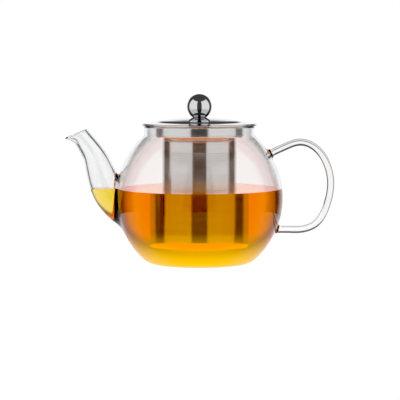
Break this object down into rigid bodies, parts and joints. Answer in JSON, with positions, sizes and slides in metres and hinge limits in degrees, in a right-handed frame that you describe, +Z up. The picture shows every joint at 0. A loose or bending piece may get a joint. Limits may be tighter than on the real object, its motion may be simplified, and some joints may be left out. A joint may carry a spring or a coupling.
{
  "type": "teapot infuser",
  "caption": "Round glass teapot with a curved spout and rod handle, a lift-out perforated steel infuser basket and a loose domed steel lid with a ball knob.",
  "frame": {"origin": "on the table, under the middle of the bowl", "axes": "+Z up along the bowl's axis, +X towards the handle, -X towards the spout"},
  "size_m": [0.2099, 0.13, 0.1321],
  "materials": {
    "clear_glass": "polished",
    "polished_steel": "polished",
    "brushed_steel": "satin",
    "perforated_steel": "satin"
  },
  "bodies": {
    "pot": {"glass_bowl": "clear_glass", "spout": "clear_glass", "handle": "clear_glass"},
    "infuser": {"infuser_collar": "brushed_steel", "infuser_sleeve": "perforated_steel", "infuser_base": "perforated_steel"},
    "lid": {"lid_shell": "polished_steel", "lid_skirt": "brushed_steel", "knob_cap": "polished_steel", "knob_cup": "polished_steel", "knob_insert": "brushed_steel", "lid_washer": "brushed_steel", "lid_screw": "polished_steel"}
  },
  "joints": [
    {"name": "infuser_lift", "type": "slide", "parent": "pot", "child": "infuser", "axis": [0, 0, 1], "range_m": [0, 0.11]},
    {"name": "lid_lift", "type": "slide", "parent": "infuser", "child": "lid", "axis": [0, 0, 1], "range_m": [0, 0.06]}
  ]
}
